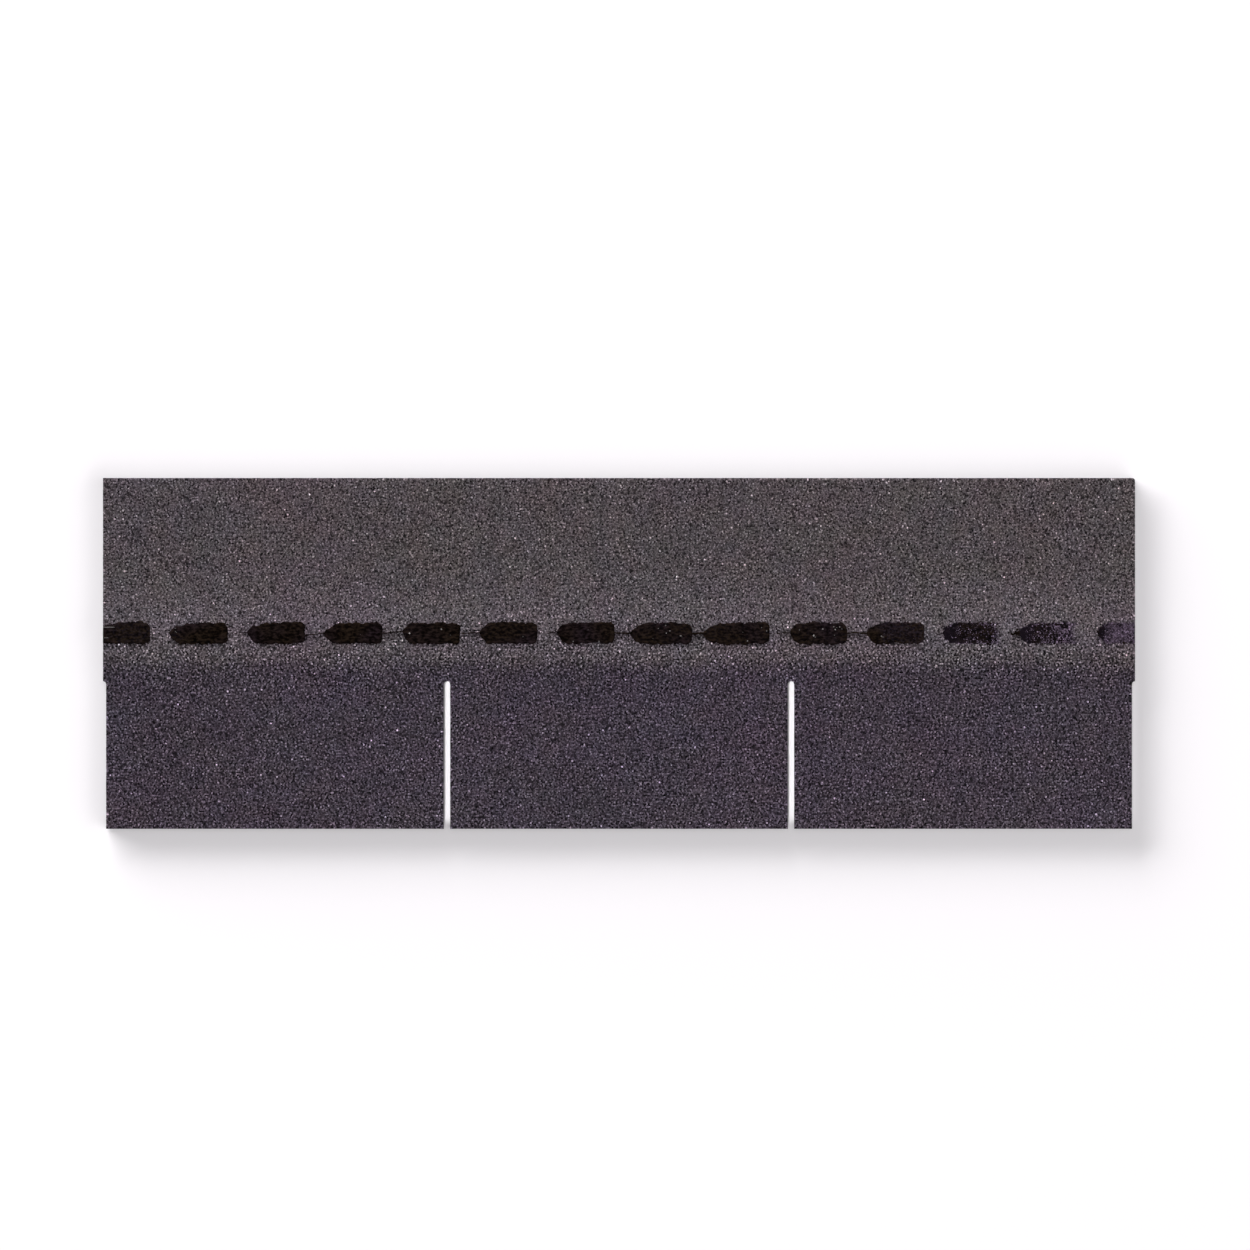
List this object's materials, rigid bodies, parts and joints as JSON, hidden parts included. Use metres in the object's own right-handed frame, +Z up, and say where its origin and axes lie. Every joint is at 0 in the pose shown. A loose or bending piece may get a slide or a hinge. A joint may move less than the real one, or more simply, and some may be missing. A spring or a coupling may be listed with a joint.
{
  "type": "asphalt shingle",
  "caption": "Flat three-tab asphalt roofing strip with a granule face, slots between the tabs and a row of sealing bitumen dashes.",
  "frame": {"origin": "middle of the underside, on the surface the strip lies on", "axes": "+X along the strip, +Y towards the headlap edge, +Z up out of the granule face"},
  "size_m": [1, 0.34, 0.0038],
  "materials": {
    "granule_sheet": "grey-brown mineral granules pressed into bitumen, matt and rough",
    "sealing_bitumen": "black sealing bitumen, satin, slightly wrinkled"
  },
  "bodies": {
    "root": {"shingle_sheet": "granule_sheet", "sealant_dash_01": "sealing_bitumen", "sealant_dash_02": "sealing_bitumen", "sealant_dash_03": "sealing_bitumen", "sealant_dash_04": "sealing_bitumen", "sealant_dash_05": "sealing_bitumen", "sealant_dash_06": "sealing_bitumen", "sealant_dash_07": "sealing_bitumen", "sealant_dash_08": "sealing_bitumen", "sealant_dash_09": "sealing_bitumen", "sealant_dash_10": "sealing_bitumen", "sealant_dash_11": "sealing_bitumen", "sealant_dash_12": "sealing_bitumen", "sealant_dash_13": "sealing_bitumen", "sealant_dash_14": "sealing_bitumen"}
  },
  "joints": []
}
